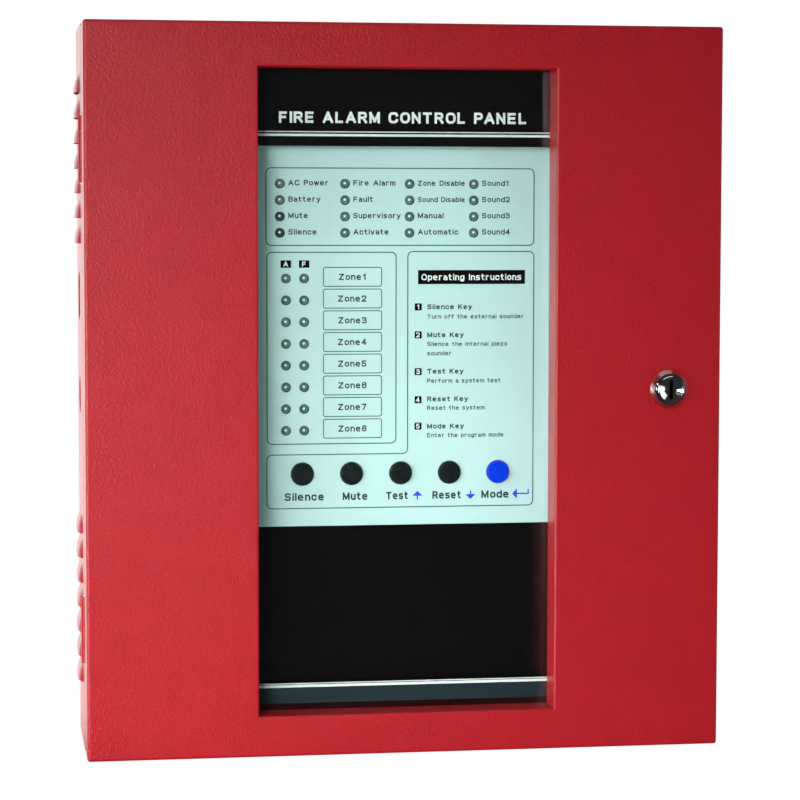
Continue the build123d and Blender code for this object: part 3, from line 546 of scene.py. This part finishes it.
def flatShape(outline, frontY, thickness):
    # a prism facing the front: the outline at frontY and again one thickness behind
    outline = np.array(outline, float)
    layers = [np.column_stack([outline[:, 0], np.full(len(outline), y), outline[:, 1]])
              for y in (frontY, frontY + thickness)]
    return gridMesh(np.array(layers) * mm, loopRound=True)


def lineAlong(outline, width, frontY, thickness, closed=True):
    # a line of ink: a rectangle, width by thickness, carried along the outline. Its width lies
    # along the normal, which is the outline's direction turned a quarter
    path = np.array(outline, float)
    direction = np.roll(path, -1, axis=0) - np.roll(path, 1, axis=0)
    if not closed:
        direction[0], direction[-1] = path[1] - path[0], path[-1] - path[-2]
    direction /= np.linalg.norm(direction, axis=1)[:, None]
    normal = np.column_stack([-direction[:, 1], direction[:, 0]]) * width / 2
    section = [(1, 0), (-1, 0), (-1, thickness), (1, thickness)]
    sides = [np.column_stack([path[:, 0] + side * normal[:, 0], np.full(len(path), frontY + deep),
                              path[:, 1] + side * normal[:, 1]]) for side, deep in section]
    return gridMesh(np.array(sides).transpose(1, 0, 2) * mm, loopAlong=closed, loopRound=True)


# lettering

# Each letter is a few pen strokes, in hundredths of the capital height. A plain stroke has sharp
# corners, one marked ~ is rounded off at its corners, and one marked o is a closed round loop
alphabet = {
    "A": "0 0, 37 100, 74 0; 14 30, 60 30",
    "B": "0 0, 0 100; ~ 0 100, 56 100, 56 54, 0 54; ~ 0 54, 62 54, 62 0, 0 0",
    "C": "~ 68 78, 62 100, 0 100, 0 0, 62 0, 68 22",
    "D": "0 0, 0 100; ~ 0 100, 66 100, 66 0, 0 0",
    "E": "0 0, 0 100; 0 100, 56 100; 0 52, 50 52; 0 0, 56 0",
    "F": "0 0, 0 100; 0 100, 52 100; 0 50, 45 50",
    "I": "0 0, 0 100",
    "K": "0 0, 0 100; 0 34, 56 100; 22 58, 60 0",
    "L": "0 100, 0 0, 50 0",
    "M": "0 0, 0 100, 38 10, 76 100, 76 0",
    "N": "0 0, 0 100, 62 0, 62 100",
    "O": "o 0 0, 72 0, 72 100, 0 100",
    "P": "0 0, 0 100; ~ 0 100, 60 100, 60 46, 0 46",
    "R": "0 0, 0 100; ~ 0 100, 60 100, 60 48, 0 48; 34 48, 62 0",
    "S": "~ 58 88, 52 100, 0 100, 0 52, 58 52, 58 0, 6 0, 0 12",
    "T": "0 100, 62 100; 31 100, 31 0",
    "Z": "0 100, 58 100, 0 0, 58 0",
    "a": "~ 6 74, 50 74, 50 0; o 0 0, 50 0, 50 39, 0 39",
    "b": "0 0, 0 100; o 0 0, 52 0, 52 74, 0 74",
    "c": "~ 50 58, 46 74, 0 74, 0 0, 46 0, 50 15",
    "d": "52 0, 52 100; o 0 0, 52 0, 52 74, 0 74",
    "e": "0 39, 52 39; ~ 52 39, 52 74, 0 74, 0 0, 48 0",
    "f": "~ 12 0, 12 100, 36 100; 0 72, 34 72",
    "g": "o 0 0, 52 0, 52 74, 0 74; ~ 52 74, 52 -26, 2 -26, 2 -12",
    "h": "0 0, 0 100; ~ 0 44, 0 74, 48 74, 48 0",
    "i": "0 0, 0 66; 0 99, 0 100",
    "l": "0 0, 0 100",
    "m": "0 0, 0 74; ~ 0 44, 0 74, 38 74, 38 0; ~ 38 44, 38 74, 76 74, 76 0",
    "n": "0 0, 0 74; ~ 0 44, 0 74, 48 74, 48 0",
    "o": "o 0 0, 52 0, 52 74, 0 74",
    "p": "0 -26, 0 74; o 0 0, 52 0, 52 74, 0 74",
    "r": "0 0, 0 74; ~ 0 42, 0 74, 30 74",
    "s": "~ 44 74, 0 74, 0 38, 46 38, 46 0, 2 0",
    "t": "~ 12 98, 12 0, 34 0; 0 72, 32 72",
    "u": "~ 0 74, 0 0, 48 0, 48 30; 48 0, 48 74",
    "v": "0 74, 26 0, 52 74",
    "w": "0 74, 18 0, 36 74, 54 0, 72 74",
    "x": "0 0, 48 74; 0 74, 48 0",
    "y": "0 74, 26 2; 52 74, 18 -24, 4 -24",
    "z": "0 74, 46 74, 0 0, 46 0",
    "1": "6 80, 28 100, 28 0",
    "2": "~ 0 80, 0 100, 54 100, 54 56, 0 0; 0 0, 56 0",
    "3": "~ 0 82, 0 100, 52 100, 52 54, 20 54; ~ 20 54, 56 54, 56 0, 0 0, 0 18",
    "4": "42 0, 42 100, 0 30, 58 30",
    "5": "52 100, 6 100, 2 54; ~ 2 58, 54 58, 54 0, 0 0, 0 18",
    "6": "o 0 0, 54 0, 54 60, 0 60; ~ 0 30, 0 100, 52 100, 52 80",
    "7": "0 100, 54 100, 20 0",
    "8": "o 3 53, 51 53, 51 100, 3 100; o 0 0, 54 0, 54 54, 0 54",
}
# strokes that cross lie on a few thin layers, so that no two faces share a plane
lettering = {"thickness": 0.03, "pen": 0.2, "gap": 0.14, "space": 0.46, "steps": 6, "layer": 0.002,
             "layers": 4, "stretch": 1.04}


def roundedStroke(corners, closed):
    # each corner is the quadratic curve of softCorners, as wide as its two sides allow: half a
    # side that has another corner at its far end, or the whole of a side that ends free
    before, after = np.roll(corners, 1, axis=0) - corners, np.roll(corners, -1, axis=0) - corners
    backLength, aheadLength = np.linalg.norm(before, axis=1), np.linalg.norm(after, axis=1)
    backShare, aheadShare = np.full(len(corners), 0.5), np.full(len(corners), 0.5)
    if not closed:
        backShare[1], aheadShare[-2] = 1.0, 1.0
    radius = np.minimum(backLength * backShare, aheadLength * aheadShare)
    start = corners + before * (radius / backLength)[:, None]
    end = corners + after * (radius / aheadLength)[:, None]
    t = np.linspace(0, 1, lettering["steps"])[None, :, None]
    curve = (1 - t) ** 2 * start[:, None] + 2 * t * (1 - t) * corners[:, None] + t**2 * end[:, None]
    path = curve.reshape(-1, 2) if closed else curve[1:-1].reshape(-1, 2)
    if not closed:
        path = np.vstack([corners[:1], path, corners[-1:]])
    apart = np.linalg.norm(np.roll(path, -1, axis=0) - path, axis=1) > 1e-6
    apart[-1] |= not closed
    return path[apart]


def penStrokes(letter, pen):
    # the strokes of a letter as (path, closed), square ends included, for a pen this wide
    strokes = []
    for text in alphabet[letter].split(";"):
        mark = text.strip()[0]
        numbers = text.replace("~", "").replace("o", "").replace(",", " ").split()
        corners = np.array(numbers, float).reshape(-1, 2) / 100
        corners[:, 1] = pen / 2 + corners[:, 1] * (1 - pen)
        if mark == "o":
            strokes.append((roundedStroke(corners, True), True))
            continue
        runs = [roundedStroke(corners, False)] if mark == "~" else [*zip(corners[:-1], corners[1:])]
        for run in runs:
            path = np.array(run)
            first, last = path[0] - path[1], path[-1] - path[-2]
            path[0] += first / np.linalg.norm(first) * pen / 2
            path[-1] += last / np.linalg.norm(last) * pen / 2
            strokes.append((path, False))
    return strokes


def write(words, x, baseline, frontY, cap, width=None, limit=None, anchor="left", pen=None, gap=None):
    # letters stand side by side, each starting one gap after the last one's ink. That is in capital
    # heights, and the whole line is then scaled to its size: across by wide and up by tall. width
    # fits the line exactly, limit only makes it smaller, and anchor says which end x gives
    pen = pen or lettering["pen"]
    gap = gap or lettering["gap"]
    stretch = lettering["stretch"]
    placed, cursor = [], 0.0
    for letter in words:
        if letter == " ":
            cursor += lettering["space"] + gap
            continue
        strokes = penStrokes(letter, pen)
        edge = max(path[:, 0].max() for path, closed in strokes)
        placed += [(path + (cursor + pen / 2, 0), closed) for path, closed in strokes]
        cursor += edge + pen + gap
    long = cursor - gap
    natural = long * cap * stretch
    tall = cap
    if limit and natural > limit:
        tall = cap * (limit / natural) ** 0.5
        width = limit
    wide = width / long if width else tall * stretch
    left = {"left": x, "centre": x - long * wide / 2, "right": x - long * wide}[anchor]
    inked = [lineAlong(path * (wide, tall) + (left, baseline), pen * tall,
                       frontY + lettering["layer"] * (i % lettering["layers"]), lettering["thickness"],
                       closed)
             for i, (path, closed) in enumerate(placed)]
    return joinMeshes(inked)


# the printed overlay

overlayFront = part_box("display_overlay")[0].y / mm
ink = {"thickness": 0.03, "lift": 0.005, "line": 0.55, "cellLine": 0.4675, "corner": 3.0}
inkY = overlayFront - ink["thickness"] - ink["lift"]
topInkY = inkY - lettering["thickness"] - ink["lift"]

lampBox = [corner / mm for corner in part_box("status_lamps")]
zoneBox = [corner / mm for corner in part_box("zone_lamps")]
lampFlange = 2.85  # from a lamp's middle to the rim of its foot
lampColumns = np.linspace(lampBox[0].x + lampFlange, lampBox[1].x - lampFlange, 4)
lampRows = np.linspace(lampBox[1].z - lampFlange, lampBox[0].z + lampFlange, 4)
zoneRows = np.linspace(zoneBox[1].z - lampFlange, zoneBox[0].z + lampFlange, 8)
zoneColumns = (zoneBox[0].x + lampFlange, zoneBox[1].x - lampFlange)

lampWords = {
    "columns": (("AC Power", "Battery", "Mute", "Silence"),
                ("Fire Alarm", "Fault", "Supervisory", "Activate"),
                ("Zone Disable", "Sound Disable", "Manual", "Automatic"),
                ("Sound1", "Sound2", "Sound3", "Sound4")),
    "cap": 2.75, "start": 4.3, "raise": 0.5, "limit": 24.6,
}
frames = {
    "status": (-69.5, 69.5, 73.4, 112.8),
    "zones": (-69.1, -2.5, -28.3, 69.9),
    "keysAndNotes": [(3.6, 70.25), (69.6, 70.25), (69.6, -61.5), (-69.3, -61.5), (-69.3, -33.8),
                     (3.6, -33.8)],
}
zoneBoxes = {"left": -40.1, "right": -10.0, "above": 0.85, "half": 4.85, "corner": 1.2, "cap": 3.2}
notes = {
    "box": (8.9, 64.95, 53.5, 60.7),
    "title": "Operating Instructions", "titleCap": 3.2, "titleWidth": 52.5, "titlePen": 0.19,
    "squareLeft": 7.2, "square": 3.7, "squareCorner": 0.6, "numberCap": 2.5, "numberPen": 0.18,
    "x": 13.8, "headCap": 2.55, "headPen": 0.22, "cap": 2.15, "pen": 0.19,
    "items": (
        (41.8, ((40.55, "Silence Key"), (35.7, "Turn off the external sounder"))),
        (27.4, ((26.1, "Mute Key"), (21.6, "Silence the internal piezo"), (16.8, "sounder"))),
        (8.4, ((7.3, "Test Key"), (2.6, "Perform a system test"))),
        (-6.1, ((-7.0, "Reset Key"), (-11.4, "Reset the system"))),
        (-19.7, ((-21.1, "Mode Key"), (-25.6, "Enter the program mode"))),
    ),
}
keyWords = {
    "baseline": -57.5, "cap": 3.95, "pen": 0.21,
    "spans": {"Silence": (-60.1, -39.6), "Mute": (-30.1, -17.0), "Test": (-7.5, 4.1),
              "Reset": (16.7, 31.9), "Mode": (42.4, 57.2)},
}
columnMarks = {"letters": "AF", "low": 62.0, "high": 65.8, "half": 2.7, "cap": 2.5}

darkWords = []
for x, words in zip(lampColumns, lampWords["columns"]):
    for z, label in zip(lampRows, words):
        baseline = z - lampWords["cap"] / 2 + lampWords["raise"]
        darkWords.append(write(label, x + lampWords["start"], baseline, inkY, lampWords["cap"],
                               limit=lampWords["limit"]))
zoneMiddle = (zoneBoxes["left"] + zoneBoxes["right"]) / 2
for number, z in enumerate(zoneRows, 1):
    baseline = z + zoneBoxes["above"] - zoneBoxes["cap"] / 2
    darkWords.append(write(f"Zone{number}", zoneMiddle, baseline, inkY, zoneBoxes["cap"], anchor="centre"))
for label, (x0, x1) in keyWords["spans"].items():
    darkWords.append(write(label, x0, keyWords["baseline"], inkY, keyWords["cap"], width=x1 - x0,
                           pen=keyWords["pen"]))
for squareZ, lines in notes["items"]:
    for i, (baseline, line) in enumerate(lines):
        cap, pen = (notes["cap"], notes["pen"]) if i else (notes["headCap"], notes["headPen"])
        darkWords.append(write(line, notes["x"], baseline, inkY, cap, pen=pen))
makePiece("overlayWords", joinMeshes(darkWords), "enclosure", inks["dark"])

zoneCells = [rectangle(zoneBoxes["left"], zoneBoxes["right"], z + zoneBoxes["above"] - zoneBoxes["half"],
                       z + zoneBoxes["above"] + zoneBoxes["half"]) for z in zoneRows]
borders = [rectangle(*frames["status"]), rectangle(*frames["zones"]), frames["keysAndNotes"]]
inkLines = [lineAlong(softCorners(border, ink["corner"]), ink["line"], inkY, ink["thickness"])
            for border in borders]
inkLines += [lineAlong(softCorners(cell, zoneBoxes["corner"]), ink["cellLine"], inkY, ink["thickness"])
             for cell in zoneCells]
makePiece("overlayLines", joinMeshes(inkLines), "enclosure", inks["line"])

half = notes["square"] / 2
squareMiddle = notes["squareLeft"] + half
blocks = [rectangle(*notes["box"])]
for z, lines in notes["items"]:
    square = rectangle(squareMiddle - half, squareMiddle + half, z - half, z + half)
    blocks.append(softCorners(square, notes["squareCorner"]))
for x in zoneColumns:
    left, right = x - columnMarks["half"], x + columnMarks["half"]
    blocks.append(rectangle(left, right, columnMarks["low"], columnMarks["high"]))
makePiece("overlayBlocks", joinMeshes([flatShape(block, inkY, ink["thickness"]) for block in blocks]),
          "enclosure", inks["black"])

boxMiddle = (notes["box"][0] + notes["box"][1]) / 2
boxCentreZ = (notes["box"][2] + notes["box"][3]) / 2
clearWords = [write(notes["title"], boxMiddle, boxCentreZ - notes["titleCap"] / 2, topInkY,
                    notes["titleCap"], width=notes["titleWidth"], anchor="centre", pen=notes["titlePen"])]
for number, (z, lines) in enumerate(notes["items"], 1):
    clearWords.append(write(str(number), squareMiddle, z - notes["numberCap"] / 2, topInkY,
                            notes["numberCap"], anchor="centre", pen=notes["numberPen"]))
markBaseline = (columnMarks["low"] + columnMarks["high"] - columnMarks["cap"]) / 2
for x, mark in zip(zoneColumns, columnMarks["letters"]):
    clearWords.append(write(mark, x, markBaseline, topInkY, columnMarks["cap"], anchor="centre"))
makePiece("overlayClearWords", joinMeshes(clearWords), "enclosure", inks["white"])

arrows = {"head": 2.6, "headLong": 2.5, "stem": 0.33, "long": 4.6, "middle": -55.6,
          "up": 8.8, "down": 36.65, "back": 58.7, "backEnd": 67.5, "backRaise": 0.2, "hook": 2.2}


def arrowOutline(tip, direction, long):
    # seven corners: the tip, the two barbs, and the stem; direction is a unit vector
    ahead = np.array(direction, float)
    side = np.array([-ahead[1], ahead[0]])
    tip = np.array(tip, float)
    neck, tail = tip - ahead * arrows["headLong"], tip - ahead * long
    return [tip, neck + side * arrows["head"], neck + side * arrows["stem"], tail + side * arrows["stem"],
            tail - side * arrows["stem"], neck - side * arrows["stem"], neck - side * arrows["head"]]


reach = arrows["long"] / 2
hookLeft = arrows["backEnd"] - 2 * arrows["stem"]
backZ = arrows["middle"] + arrows["backRaise"]
blueShapes = [
    arrowOutline((arrows["up"], arrows["middle"] + reach), (0, 1), arrows["long"]),
    arrowOutline((arrows["down"], arrows["middle"] - reach), (0, -1), arrows["long"]),
    arrowOutline((arrows["back"], backZ), (-1, 0), hookLeft - arrows["back"]),
    rectangle(hookLeft, arrows["backEnd"], backZ - arrows["stem"], backZ + arrows["hook"]),
]
makePiece("overlayArrows", joinMeshes([flatShape(shape, inkY, ink["thickness"]) for shape in blueShapes]),
          "enclosure", inks["blue"])
print("overlay printed")


# print on the back of the pane

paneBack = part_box("window_pane")[1].y / mm
pane = {"half": 77.0, "top": 163.8, "foot": -165.0}
header = {"foot": 123.8, "title": "FIRE ALARM CONTROL PANEL", "x0": -63.5, "x1": 64.4, "baseline": 135.45,
          "cap": 5.7, "pen": 0.22, "gap": 0.16, "lines": ((130.75, 131.25), (128.75, 129.95))}
footer = {"top": -150.5, "lines": ((-151.35, -150.9), (-153.1, -151.75)), "band": (-161.2, -153.4)}
firstInk = paneBack + ink["lift"]
secondInk = firstInk + lettering["thickness"] + ink["lift"]


def paneStripe(z0, z1, frontY):
    # a printed stripe from z0 up to z1, as wide as the pane's print
    return flatShape(rectangle(-pane["half"], pane["half"], z0, z1), frontY, ink["thickness"])


whitePrint = [write(header["title"], header["x0"], header["baseline"], firstInk, header["cap"],
                    width=header["x1"] - header["x0"], pen=header["pen"], gap=header["gap"])]
whitePrint += [paneStripe(z0, z1, firstInk) for z0, z1 in header["lines"] + footer["lines"]]
makePiece("paneWhitePrint", joinMeshes(whitePrint), "door", inks["white"])
makePiece("paneBand", paneStripe(*footer["band"], firstInk), "door", inks["slate"])
blackPrint = [paneStripe(header["foot"], pane["top"], secondInk),
              paneStripe(pane["foot"], footer["top"], secondInk)]
makePiece("paneBlackPrint", joinMeshes(blackPrint), "door", inks["black"])
print("pane printed")


# floor, lights and camera

stage = {"size": 3.2, "shade": display(246, 246, 246), "roughness": 0.8, "glow": 0.1, "white": 1.0,
         "sky": 0.025}
lamps = (
    # name, place, where it points, width, height, power, how far its beam opens in degrees
    ("farLeft", (-1.3, -0.5, 0.0), (-0.06, -0.08, -0.06), 0.6, 1.0, 4.0, 180),
    ("lowBeam", (-0.9, -1.1, -0.05), (-0.10, -0.08, -0.24), 0.5, 0.25, 0.5, 45),
    ("sideBeam", (-1.2, -0.6, -0.05), (-0.14, -0.08, -0.22), 0.5, 0.25, 0.45, 45),
    ("frontBeam", (-0.5, -1.45, 0.0), (0.0, -0.08, -0.12), 0.3, 0.2, 0.13, 30),
    ("haze", (-0.5, -1.2, 0.35), (-0.1, -0.08, 0.04), 0.3, 0.15, 0.48, 60),
    ("overhead", (0.0, -0.25, 1.3), (0.0, 0.0, 0.0), 1.2, 0.8, 2.5, 180),
    ("rightSide", (1.1, -0.9, 0.1), (0.06, -0.08, 0.0), 0.5, 0.9, 1.8, 180),
    ("backdrop", (-0.55, 1.2, 0.05), (-0.17, 0.0, 0.0), 0.8, 1.0, 5.0, 180),
)


def whiteShader(tree, kind, strength):
    made = tree.nodes.new(kind)
    made.inputs["Color"].default_value = (1, 1, 1, 1)
    made.inputs["Strength"].default_value = strength
    return made


def seenWhite(tree, output, white, base):
    # a ray that hasn't bounced yet, so that its bounces come to less than one half, sees an even
    # white, also through the pane. One that has bounced off something sees the dimmer base
    seen = tree.nodes.new("ShaderNodeLightPath")
    bounces = tree.nodes.new("ShaderNodeMath")
    direct = tree.nodes.new("ShaderNodeMath")
    direct.operation = "LESS_THAN"
    direct.inputs[1].default_value = 0.5
    chooser = tree.nodes.new("ShaderNodeMixShader")
    tree.links.new(seen.outputs["Diffuse Depth"], bounces.inputs[0])
    tree.links.new(seen.outputs["Glossy Depth"], bounces.inputs[1])
    tree.links.new(bounces.outputs[0], direct.inputs[0])
    tree.links.new(direct.outputs[0], chooser.inputs[0])
    tree.links.new(base.outputs[0], chooser.inputs[1])
    tree.links.new(white.outputs[0], chooser.inputs[2])
    tree.links.new(chooser.outputs[0], output.inputs["Surface"])


floorZ = cadBounds[0][2]
side = stage["size"] / 2
floorMesh = meshFrom(np.array([(-side, -side, floorZ), (side, -side, floorZ), (side, side, floorZ),
                               (-side, side, floorZ)]), [(0, 1, 2, 3)])
floorFinish, floorShader = startMaterial("paleFloor", stage["shade"], stage["roughness"])
floorTree = floorFinish.node_tree
floorShader.inputs["Emission Color"].default_value = (1, 1, 1, 1)
floorShader.inputs["Emission Strength"].default_value = stage["glow"]
seenWhite(floorTree, floorTree.nodes["Material Output"],
          whiteShader(floorTree, "ShaderNodeEmission", stage["white"]), floorShader)
floorMesh.materials.append(floorFinish)
floor = bpy.data.objects.new("floor", floorMesh)
scene.collection.objects.link(floor)
floor.visible_glossy = False
floor.visible_transmission = False

for name, place, target, width, height, power, opening in lamps:
    light = bpy.data.lights.new(name, "AREA")
    light.shape = "RECTANGLE"
    light.size, light.size_y, light.energy = width, height, power
    light.spread = radians(opening)
    holder = bpy.data.objects.new(name, light)
    holder.location = place
    holder.rotation_euler = (Vector(target) - Vector(place)).to_track_quat("-Z", "Y").to_euler()
    holder.visible_camera = False
    scene.collection.objects.link(holder)

world = bpy.data.worlds.new("studio")
world.use_nodes = True
scene.world = world
sky = world.node_tree
seenWhite(sky, sky.nodes["World Output"], whiteShader(sky, "ShaderNodeBackground", stage["white"]),
          whiteShader(sky, "ShaderNodeBackground", stage["sky"]))
scene.view_settings.view_transform = "Standard"

view = {"place": (-0.2125, -1.4272, 0.0911), "turn": (85.953, -0.089, -8.875), "lens": 120.34,
        "sensor": 36}
cameraData = bpy.data.cameras.new("camera")
cameraData.sensor_width = view["sensor"]
cameraData.lens = view["lens"]
camera = bpy.data.objects.new("camera", cameraData)
camera.location = view["place"]
camera.rotation_euler = [radians(angle) for angle in view["turn"]]
scene.collection.objects.link(camera)
scene.camera = camera
print("stage set")
